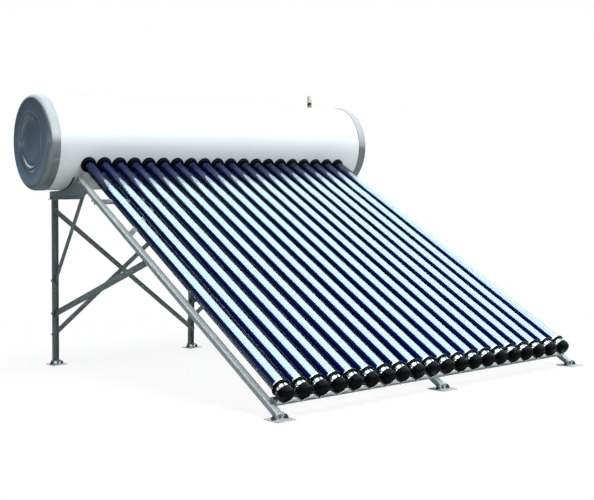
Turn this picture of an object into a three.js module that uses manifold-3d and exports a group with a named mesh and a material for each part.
// Compact evacuated-tube solar water heater: a horizontal tank on three triangular
// frames, with a row of glass tubes sloping down from it.
// Millimetres, +Z up.  Origin on the ground, at the middle of the whole unit's
// footprint.  X runs along the tank (left is -X), the tubes slope down to the front, -Y.
import * as THREE from 'three';
import { mergeVertices } from 'three/addons/utils/BufferGeometryUtils.js';
import Module from 'manifold-3d';

const wasm = await Module();
wasm.setup();

// ---------------------------------------------------------------- driving dimensions
const TANK_Y = 775;             // the tank's axis, behind the middle of the footprint
const TANK_Z = 1110;            // height of the tank's axis

const TUBE_COUNT = 20;
const TUBE_PITCH = 80;
const TUBE_R = 29;              // outer glass
const TUBE_SLOPE = 30.4;        // degrees below the horizontal
const TUBE_DROP = 4;            // the tubes' plane passes this far below the tank's axis
const TUBE_SEG = 12;
const TUBE_X = Array.from({ length: TUBE_COUNT }, (_, i) => (i - (TUBE_COUNT - 1) / 2) * TUBE_PITCH);

const FRAME_SPACING = 797;
const FRAMES = [                // plateSide: side of the frame its cradle plate is on
  { name: 'left', x: -FRAME_SPACING, plateSide: -1 },
  { name: 'middle', x: 0, plateSide: -1 },
  { name: 'right', x: FRAME_SPACING, plateSide: 1 },
];
const SIDES = [['left', -1], ['right', 1]];

const RAIL_HALF_W = 15;         // folded channel of the front rails and rear legs
const RAIL_HALF_D = 10;
const SHEET = 2;
const PIVOT_Z = 16;             // height of the foot bolts
const FRONT_PIVOT = [-1745, PIVOT_Z];   // y, z
const REAR_PIVOT = [215, PIVOT_Z];
const RAIL_SLOPE = 30;          // degrees above the horizontal
const RAIL_LEN = 1802;
const LEG_LEAN = 5.6;           // degrees forward of the vertical
const LEG_LEN = 864;
const CLEARANCE = 0.4;          // between a frame member and what lies against it

// ---------------------------------------------------------------- materials
const MATERIALS = {
  white: { color: 0xf2f5f6, roughness: 0.22, metalness: 0 },
  cap: { color: 0x6f8796, roughness: 0.38, metalness: 0.1 },
  steel: { color: 0xb9bdc0, roughness: 0.3, metalness: 1 },
  foam: { color: 0xe6dfb8, roughness: 0.95, metalness: 0 },
  glass: { color: 0x0a1a6e, roughness: 0.08, metalness: 0.3 },
  rubber: { color: 0x0b0c0d, roughness: 0.7, metalness: 0 },
  silicone: { color: 0x9a3b2a, roughness: 0.6, metalness: 0 },
  cup: { color: 0x0a0c10, roughness: 0.42, metalness: 0 },
  galv: { color: 0x9aa6a8, roughness: 0.42, metalness: 0.85 },
  brass: { color: 0xa59d6a, roughness: 0.35, metalness: 0.9 },
  chrome: { color: 0xb9c2b6, roughness: 0.25, metalness: 0.95 },
};

// ---------------------------------------------------------------- solids
const rad = THREE.MathUtils.degToRad;

// Welded triangles of a closed geometry, without slivers, facing outwards.
function weld(geometry) {
  for (const key of Object.keys(geometry.attributes)) {
    if (key !== 'position') geometry.deleteAttribute(key);
  }
  const merged = mergeVertices(geometry, 1e-4);
  const positions = merged.attributes.position.array;
  const source = merged.index.array;
  const corner = (index) => new THREE.Vector3().fromArray(positions, index * 3);
  const triangles = [];
  let volume = 0;
  for (let i = 0; i < source.length; i += 3) {
    const [a, b, c] = source.slice(i, i + 3);
    if (a === b || b === c || a === c) continue;
    triangles.push(a, b, c);
    volume += corner(a).dot(corner(b).cross(corner(c)));
  }
  if (volume < 0) triangles.reverse();
  return { positions, triangles };
}

function solid(geometry) {
  const { positions, triangles } = weld(geometry);
  return new wasm.Manifold(new wasm.Mesh({
    numProp: 3,
    vertProperties: new Float32Array(positions),
    triVerts: new Uint32Array(triangles),
  }));
}

const join = (body, geometry) => body.add(solid(geometry));
const cut = (body, geometry) => body.subtract(solid(geometry));

// A named mesh from a geometry or a finished solid.
function node(name, shape, material) {
  const { vertProperties, triVerts } = (shape.isBufferGeometry ? solid(shape) : shape).getMesh();
  const geometry = new THREE.BufferGeometry();
  geometry.setAttribute('position', new THREE.Float32BufferAttribute(vertProperties, 3));
  geometry.setIndex(new THREE.Uint32BufferAttribute(triVerts, 1));
  geometry.computeVertexNormals();
  const mesh = new THREE.Mesh(geometry, new THREE.MeshStandardMaterial(MATERIALS[material]));
  mesh.name = name;
  return mesh;
}

const basis = (...axes) =>
  new THREE.Matrix4().makeBasis(...axes.map((axis) => new THREE.Vector3(...axis)));

// outline of [u, v] points, extruded along Z from 0
function extrude(outline, depth) {
  const shape = new THREE.Shape(outline.map(([u, v]) => new THREE.Vector2(u, v)));
  return new THREE.ExtrudeGeometry(shape, { depth, bevelEnabled: false });
}

// outline of [y, z] points, extruded along X between two ends given in either order
function prismX(outline, x0, x1) {
  return extrude(outline, Math.abs(x1 - x0))
    .applyMatrix4(basis([0, 1, 0], [0, 0, 1], [1, 0, 0]))
    .translate(Math.min(x0, x1), 0, 0);
}

function box([x0, x1], [y0, y1], [z0, z1]) {
  return new THREE.BoxGeometry(x1 - x0, y1 - y0, z1 - z0)
    .translate((x0 + x1) / 2, (y0 + y1) / 2, (z0 + z1) / 2);
}

const lathe = (profile, segments) =>
  new THREE.LatheGeometry(profile.map(([r, d]) => new THREE.Vector2(r, d)), segments);

// profile of [radius, distance] points turned about X, about -Y, and about Z
const latheX = (profile, segments) =>
  lathe(profile, segments).applyMatrix4(basis([0, 0, 1], [1, 0, 0], [0, 1, 0]));
const latheDown = (profile, segments) =>
  lathe(profile.map(([r, d]) => [r, -d]), segments).rotateY(Math.PI / segments);
const latheZ = (profile, segments) => lathe(profile, segments).rotateX(Math.PI / 2);

// profile of a plain solid rod
const rod = (radius, start, end) => [[0, start], [radius, start], [radius, end], [0, end]];

// [y, z] points round a circle, angles in degrees from +Y towards +Z
const arc = ([cy, cz], radius, start, end, steps = 8) =>
  Array.from({ length: steps + 1 }, (_, i) => {
    const angle = rad(start + ((end - start) * i) / steps);
    return [cy + radius * Math.cos(angle), cz + radius * Math.sin(angle)];
  });

// ---------------------------------------------------------------- groups
// A frame at x and a [y, z] pivot, turned about X.
function tiltedGroup(x, pivot, degrees) {
  const group = new THREE.Group();
  group.position.set(x, ...pivot);
  group.rotation.x = rad(degrees);
  return group;
}

const unit = new THREE.Group();
const stand = new THREE.Group();    // origin on the ground below the tank's axis
stand.position.y = TANK_Y;
unit.add(stand);
const tank = new THREE.Group();     // origin on the tank's axis
tank.position.z = TANK_Z;
stand.add(tank);
// at the tank's axis, -Y runs down the tubes, Z is out of their plane
const collector = tiltedGroup(0, [0, 0], TUBE_SLOPE);
tank.add(collector);
const rows = new THREE.Group();     // the tubes and what they carry
rows.position.z = -TUBE_DROP;
collector.add(rows);

// ---------------------------------------------------------------- openings
const PORT_SEG = 12;
const VENT_X = 734;             // upright vent on top of the tank
const PIPE_X = 690;             // water connection at the rear of the tank
const PIPE_ANGLE = 38;          // below the horizontal
const PORT_CUT = [100, 260];    // both ports are cut between these radii from the axis

// One rod along every tube, cut from a body in the collector's frame.
function cutTubeRow(body, radius, [start, end], segments) {
  return TUBE_X.reduce((rest, x) => cut(rest,
    latheDown(rod(radius, start, end), segments).translate(x, 0, -TUBE_DROP)), body);
}

// profile of [radius, distance from the tank's axis] along the water connection
function pipeLathe(profile) {
  return latheZ(profile, PORT_SEG).rotateX(-rad(90 + PIPE_ANGLE)).translate(PIPE_X, 0, 0);
}

// The ports lie in the tank's frame, so they are turned back into the collector's.
function cutPorts(body, ventR, pipeR) {
  const vent = latheZ(rod(ventR, ...PORT_CUT), PORT_SEG).translate(VENT_X, 0, 0);
  const pipe = pipeLathe(rod(pipeR, ...PORT_CUT));
  return [vent, pipe].reduce((rest, port) => cut(rest, port.rotateX(-rad(TUBE_SLOPE))), body);
}

// ---------------------------------------------------------------- tank
const TANK_SEG = 48;
const SHELL = { radius: 230, wall: 1.6, half: 905, holeR: 32 };
const INNER_SEG = 24;
const INNER = { radius: 180, wall: 1.6, half: 868 };
const FOAM = { radius: SHELL.radius - SHELL.wall - 1, half: 902, tankGap: 0.6 };
const LINED_HOLE = { radius: 32.2, segments: 8, vent: 10.6, pipe: 13.9 };   // inner tank and foam
const CAP = { radius: 231.8, skirtX: 908, faceX: 967, wall: 1.5 };

function tankShell() {
  const { radius, wall, half, holeR } = SHELL;
  const bore = radius - wall;
  const sleeve = solid(latheX(
    [[radius, -half], [radius, half], [bore, half], [bore, -half], [radius, -half]], TANK_SEG));
  return cutPorts(cutTubeRow(sleeve, holeR, [200, 260], TUBE_SEG), 12, 15);
}

// The inner tank's form with its dished ends, grown by an offset.
function innerForm(offset) {
  const half = INNER.half + offset;
  const end = (side) => [
    [0, side * half],
    [100 + offset, side * (half - 14)],
    [158 + offset, side * (half - 42)],
    [INNER.radius + offset, side * (INNER.half - 84 + offset / 2)],
  ];
  return solid(latheX([...end(-1), ...end(1).reverse()], INNER_SEG));
}

function cutLinedHoles(body, span) {
  const { radius, segments, vent, pipe } = LINED_HOLE;
  return cutPorts(cutTubeRow(body, radius, span, segments), vent, pipe);
}

function innerTank() {
  return cutLinedHoles(innerForm(0).subtract(innerForm(-INNER.wall)), [140, 200]);
}

function insulationFoam() {
  const block = solid(latheX(rod(FOAM.radius, -FOAM.half, FOAM.half), INNER_SEG));
  return cutLinedHoles(block.subtract(innerForm(FOAM.tankGap)), [150, 240]);
}

function endCap(side) {
  const { radius, skirtX, faceX, wall } = CAP;
  const profile = [
    [radius, skirtX], [radius, faceX - 11], [226, faceX - 3.5], [213, faceX], [0, faceX],
    [0, faceX - wall], [212.6, faceX - wall], [radius - wall, faceX - 11.6],
    [radius - wall, skirtX], [radius, skirtX],
  ];
  return latheX(profile.map(([r, x]) => [r, side * x]), TANK_SEG);
}

collector.add(node('tank_shell', tankShell(), 'white'));
collector.add(node('inner_tank', innerTank(), 'steel'));
collector.add(node('insulation_foam', insulationFoam(), 'foam'));
for (const [name, side] of SIDES) {
  collector.add(node(`end_cap_${name}`, endCap(side), 'cap'));
}

// ---------------------------------------------------------------- tubes
const TUBE_TOP = 158;           // open end, measured from the tank's axis
const TUBE_END = 2029;          // closed tip
const TUBE_BORE = 21.9;         // radius inside the inner glass

function evacuatedTube() {
  return latheDown([
    [TUBE_R, TUBE_TOP], [TUBE_R, TUBE_END - 27], [21, TUBE_END - 7], [0, TUBE_END],
    [0, TUBE_END - 22], [TUBE_BORE, TUBE_END - 30], [TUBE_BORE, TUBE_TOP], [TUBE_R, TUBE_TOP],
  ], TUBE_SEG);
}

TUBE_X.forEach((x, i) => {
  const number = String(i + 1).padStart(2, '0');
  const tube = node(`evacuated_tube_${number}`, evacuatedTube(), 'glass');
  tube.position.x = x;
  rows.add(tube);
});

// ---------------------------------------------------------------- seals and tail cups
const SEAL_BORE = TUBE_R + 0.4;
const SEAL = { start: 162, end: 172.4, radius: 36 };    // water seal at the inner tank's wall
const DUST = { start: 230.5, end: 247, radius: 38.4 };  // dust ring outside the casing
// tail cup: rim round the tube, closed nose
const CUP = { start: 1978, end: 2037, rimR: 36.6, radius: 33.6, bore: TUBE_R + 0.5 };

// A ring on every tube, neighbours joined by webs.  A web starts `inset` from each
// tube's axis, spans `start` to `end` down the tubes and is 2 * halfZ thick.
function strip(ringProfile, { inset, start, end, halfZ }) {
  const parts = TUBE_X.flatMap((x, i) => {
    const ring = latheDown(ringProfile, TUBE_SEG).translate(x, 0, 0);
    if (i === 0) return [ring];
    return [ring, box([TUBE_X[i - 1] + inset, x - inset], [-end, -start], [-halfZ, halfZ])];
  });
  return parts.map(solid).reduce((body, part) => body.add(part));
}

function dustSealStrip() {
  const { start, end, radius } = DUST;
  return strip(
    [[SEAL_BORE, start], [radius, start], [radius - 2.4, end], [SEAL_BORE, end], [SEAL_BORE, start]],
    { inset: 36.2, start: start + 2, end: start + 6, halfZ: 2 });
}

function waterSealStrip() {
  const { start, end, radius } = SEAL;
  return strip(
    [[SEAL_BORE, start], [radius, end - 2], [SEAL_BORE, end], [SEAL_BORE, start]],
    { inset: 33, start: end - 4, end: end - 1, halfZ: 2.4 });
}

function tailCupStrip() {
  const { start, end, rimR, radius, bore } = CUP;
  return strip(
    [[bore, start], [rimR, start], [radius, end - 15], [21, end], [0, end],
      [0, end - 5], [22.5, end - 11], [bore, end - 33], [bore, start]],
    { inset: 34, start: start + 2, end: start + 5, halfZ: 1.5 });
}

rows.add(node('dust_seal_strip', dustSealStrip(), 'rubber'));
rows.add(node('water_seal_strip', waterSealStrip(), 'silicone'));
rows.add(node('tail_cup_strip', tailCupStrip(), 'cup'));

// ---------------------------------------------------------------- tail rail
const TAIL = {
  half: 792, frontY: -2026.6, rearY: -1984, base: -50.4,
  rearLip: 8.6,                 // height above the base
  frontZ: -27, endZ: -31,       // top edges of the front flange and of the end plates
  scallopR: 35.2, scallop: [2015, 2040],
};

// Folded channel with a low rear lip, the tall front flange scalloped under each cup.
function tailRail() {
  const { half, frontY, rearY, base, rearLip, frontZ, endZ, scallopR, scallop } = TAIL;
  const lipZ = base + rearLip;
  const floorZ = base + SHEET;
  let body = solid(prismX([
    [frontY, base], [rearY, base], [rearY, lipZ], [rearY - SHEET, lipZ],
    [rearY - SHEET, floorZ], [frontY + SHEET, floorZ], [frontY + SHEET, frontZ], [frontY, frontZ],
  ], -half, half));
  const endPlate = [
    [frontY, base], [rearY, base], [rearY, lipZ], [frontY + 14, endZ], [frontY, endZ],
  ];
  for (const side of [-1, 1]) {
    body = join(body, prismX(endPlate, side * half, side * (half - SHEET)));
  }
  return cutTubeRow(body, scallopR, scallop, 16);
}

collector.add(node('tail_rail', tailRail(), 'galv'));

// ---------------------------------------------------------------- frame members
const CHANNEL_BORE = [-RAIL_HALF_W + SHEET, RAIL_HALF_W - SHEET];
const CHANNEL_DEPTH = [-RAIL_HALF_D - 5, RAIL_HALF_D - SHEET];   // cut, up to the web

// Origin at the foot bolt, +Y up the slope, web on the +Z side.
function frontRail() {
  const outline = [...arc([0, 0], RAIL_HALF_D, 90, 270),
    [RAIL_LEN, -RAIL_HALF_D], [RAIL_LEN, RAIL_HALF_D]];
  let body = solid(prismX(outline, -RAIL_HALF_W, RAIL_HALF_W));
  body = cut(body, box(CHANNEL_BORE, [-40, RAIL_LEN + 20], CHANNEL_DEPTH));
  // slot under the tail rail's fixing
  return cut(body, box([-4, 4], [52, 72], [0, RAIL_HALF_D + 5]));
}

// Origin at the foot bolt, +Z up the leg, web on the +Y side.
function rearLeg() {
  const outline = [...arc([0, 0], RAIL_HALF_D, 180, 360),
    [RAIL_HALF_D, LEG_LEN], [-RAIL_HALF_D, LEG_LEN]];
  const body = solid(prismX(outline, -RAIL_HALF_W, RAIL_HALF_W));
  return cut(body, box(CHANNEL_BORE, CHANNEL_DEPTH, [-40, LEG_LEN + 20]));
}

// Cradle plate beside the rail and the leg, as [y, z]: lower edge, front nose,
// then the saddle under the casing from front to rear.
const CRADLE_OUTLINE = [
  [154, 840], [-226, 828], [-286, 850],
  [-290, 869.6], [-214, 913.5], [-209, 935],
  [-203, 938], [-188, 934], [-134, 908], [-72, 887], [-24, 879.4], [0, 878.6], [40, 878.6],
  [152, 879],
];
// flange folded along the lower edge, [y, z]
const CRADLE_FLANGE = [[-226, 825.6], [-226, 828.2], [154, 840.2], [154, 837.5]];
const CRADLE_T = 2.5;

function tankCradle(x, side) {
  const inside = x + side * (RAIL_HALF_W + CLEARANCE);
  const plate = solid(prismX(CRADLE_OUTLINE, inside, inside + side * CRADLE_T));
  return join(plate, prismX(CRADLE_FLANGE, inside, x + side * (RAIL_HALF_W + 14)));
}

// [y, z] in the stand's frame of a point in a tilted member's own frame
function fromTilted([pivotY, pivotZ], degrees, y, z) {
  const cos = Math.cos(rad(degrees));
  const sin = Math.sin(rad(degrees));
  return [pivotY + y * cos - z * sin, pivotZ + y * sin + z * cos];
}
// a distance up the member, and an offset towards its web
const legPoint = (distance, offset) => fromTilted(REAR_PIVOT, LEG_LEAN, offset, distance);
const railPoint = (distance, offset) => fromTilted(FRONT_PIVOT, RAIL_SLOPE, distance, offset);

// flat bars inside the channels, from a distance up the leg to one up the front rail
const BAR_T = 4;
const BARS = [
  { name: 'knee_brace', leg: 416, rail: 1737, offset: -6.3, width: 28 },
  { name: 'side_strut', leg: 247, rail: 1056, offset: -7.3, width: 30 },
];

// Flat bar in the frame's plane, its ends rounded about the two bolts.
function flatBar(x, { leg, rail, offset, width }) {
  const legBolt = legPoint(leg, offset);
  const railBolt = railPoint(rail, offset);
  const heading = THREE.MathUtils.radToDeg(
    Math.atan2(railBolt[1] - legBolt[1], railBolt[0] - legBolt[0]));
  return prismX([
    ...arc(railBolt, width / 2, heading - 90, heading + 90),
    ...arc(legBolt, width / 2, heading + 90, heading + 270),
  ], x - BAR_T / 2, x + BAR_T / 2);
}

// shift: middle of the base plate along Y from the hinge bolt
const FEET = [
  { end: 'front', pivot: FRONT_PIVOT, shift: -8 },
  { end: 'rear', pivot: REAR_PIVOT, shift: -12 },
];
const FOOT = { width: 80, length: 91, thickness: 3, holeR: 5.5, holeX: 28 };
const EAR = { radius: 7.4, innerX: 9.4, outerX: 12.4, shoulderZ: -9.5, footHalf: 11 };

// Base plate with two ears on the hinge bolt; origin at the bolt.
function foot(shift) {
  const { width, length, thickness, holeR, holeX } = FOOT;
  const { radius, innerX, outerX, shoulderZ, footHalf } = EAR;
  const earFootZ = -PIVOT_Z + 1;
  const earOutline = [...arc([0, 0], radius, 0, 180), [-radius, shoulderZ],
    [-footHalf, earFootZ], [footHalf, earFootZ], [radius, shoulderZ]];
  let body = solid(box([-width / 2, width / 2], [shift - length / 2, shift + length / 2],
    [-PIVOT_Z, -PIVOT_Z + thickness]));
  for (const side of [-1, 1]) {
    body = join(body, prismX(earOutline, side * innerX, side * outerX));
    body = cut(body, new THREE.CylinderGeometry(holeR, holeR, 12, 8)
      .rotateX(Math.PI / 2)
      .translate(side * holeX, shift, -PIVOT_Z + 1));
  }
  return body;
}

for (const { name, x, plateSide } of FRAMES) {
  const rail = tiltedGroup(x, FRONT_PIVOT, RAIL_SLOPE);
  rail.add(node(`front_rail_${name}`, frontRail(), 'galv'));
  const leg = tiltedGroup(x, REAR_PIVOT, LEG_LEAN);
  leg.add(node(`rear_leg_${name}`, rearLeg(), 'galv'));
  stand.add(rail, leg, node(`tank_cradle_${name}`, tankCradle(x, plateSide), 'galv'));
  for (const bar of BARS) stand.add(node(`${bar.name}_${name}`, flatBar(x, bar), 'galv'));
  for (const { end, pivot, shift } of FEET) {
    const hinge = tiltedGroup(x, pivot, 0);
    hinge.add(node(`${end}_foot_${name}`, foot(shift), 'galv'));
    stand.add(hinge);
  }
}

// ---------------------------------------------------------------- front bracing
// in the frame of the front rails: Y up the slope, Z out of their webs
const UNDERSIDE = -RAIL_HALF_D - CLEARANCE;
const CROSS = { start: 1598, end: 1628, depth: 11 };    // start and end up the rails
const BRACE = { startY: 1268, angle: 46, length: 480, width: 26.4, thickness: 3, endInset: 2 };

// Channel open downwards, below the three front rails.
function upperCrossRail() {
  const { start, end, depth } = CROSS;
  const lip = UNDERSIDE - depth;
  const web = UNDERSIDE - SHEET;
  return prismX([
    [start, lip], [start + SHEET, lip], [start + SHEET, web], [end - SHEET, web],
    [end - SHEET, lip], [end, lip], [end, UNDERSIDE], [start, UNDERSIDE],
  ], -FRAME_SPACING - RAIL_HALF_W, FRAME_SPACING + RAIL_HALF_W);
}

// Joggled flat bar from an outer rail up to the cross rail, bolted under both.
function frontBrace(side) {
  const { startY, angle, length, width, thickness, endInset } = BRACE;
  const low = UNDERSIDE - CROSS.depth - CLEARANCE;
  const outline = [           // [along the bar, z]
    [-13, UNDERSIDE], [length - 52, UNDERSIDE], [length - 36, low], [length + 15, low],
    [length + 15, low - thickness], [length - 37.5, low - thickness],
    [length - 53.5, UNDERSIDE - thickness], [-13, UNDERSIDE - thickness],
  ];
  const cos = Math.cos(rad(angle));
  const sin = Math.sin(rad(angle));
  return extrude(outline, width)
    .translate(0, 0, -width / 2)
    .applyMatrix4(basis([-side * cos, sin, 0], [0, 0, 1], [sin, side * cos, 0]))
    .translate(side * (FRAME_SPACING - endInset), startY, 0);
}

const frontBracing = tiltedGroup(0, FRONT_PIVOT, RAIL_SLOPE);
frontBracing.add(node('upper_cross_rail', upperCrossRail(), 'galv'));
for (const [name, side] of SIDES) {
  frontBracing.add(node(`front_brace_${name}`, frontBrace(side), 'galv'));
}
stand.add(frontBracing);

// ---------------------------------------------------------------- rear X bracing
// in the leaning plane of the legs; face: -1 in front of the legs, 1 behind them
const FALLING = { leftZ: 768, rightZ: 92, face: -1 };
const RISING = { leftZ: 136, rightZ: 794, face: 1 };
const REAR_BRACES = [
  { name: 'left_down', leftX: -FRAME_SPACING, ...FALLING },
  { name: 'left_up', leftX: -FRAME_SPACING, ...RISING },
  { name: 'right_up', leftX: 0, ...RISING },
  { name: 'right_down', leftX: 0, ...FALLING },
];
// section of the small channel, [across, out from the legs]
const REAR_BRACE_SECTION = [
  [-12, 0], [12, 0], [12, 7], [10.2, 7], [10.2, 1.8], [-10.2, 1.8], [-10.2, 7], [-12, 7],
];
const REAR_BRACE_OVERHANG = 14;     // beyond each end point

// Small channel with its lips turned away from the legs; origin at its middle.
function rearBrace({ name, leftX, leftZ, rightZ, face }) {
  const rise = rightZ - leftZ;
  const length = Math.hypot(FRAME_SPACING, rise) + 2 * REAR_BRACE_OVERHANG;
  const channel = extrude(REAR_BRACE_SECTION, length).translate(0, 0, -length / 2);
  const along = new THREE.Vector3(FRAME_SPACING, 0, rise).normalize();
  const out = new THREE.Vector3(0, face, 0);
  const across = new THREE.Vector3().crossVectors(out, along);
  const mesh = node(`rear_brace_${name}`, channel, 'galv');
  mesh.geometry.applyMatrix4(new THREE.Matrix4().makeBasis(across, out, along));
  mesh.position.set(leftX + FRAME_SPACING / 2, face * (RAIL_HALF_D + CLEARANCE),
    (leftZ + rightZ) / 2);
  return mesh;
}

const rearBracing = tiltedGroup(0, REAR_PIVOT, LEG_LEAN);
rearBracing.add(...REAR_BRACES.map(rearBrace));
stand.add(rearBracing);

// ---------------------------------------------------------------- vent and water connection
// profiles as [radius, distance from the tank's axis]
const VENT_FITTING = [
  [0, 168], [10, 168], [10, 230.6], [15, 230.6], [15, 246], [11, 248], [11, 256], [0, 256],
];
const VENT_CAP = [
  [0, 256.5], [13.6, 256.5], [14, 271], [12, 274], [12, 292], [8, 302], [0, 303],
];
const WATER_CONNECTION = [
  [13.3, 172], [13.3, 232], [17, 232.5], [17, 240], [13.3, 241], [13.3, 270],
  [9.5, 270], [9.5, 172], [13.3, 172],
];

const ventFitting = node('vent_fitting', latheZ(VENT_FITTING, PORT_SEG), 'brass');
const ventCap = node('vent_cap', latheZ(VENT_CAP, 16), 'chrome');
for (const part of [ventFitting, ventCap]) {
  part.position.x = VENT_X;
  tank.add(part);
}
tank.add(node('water_connection', pipeLathe(WATER_CONNECTION), 'brass'));

export default unit;
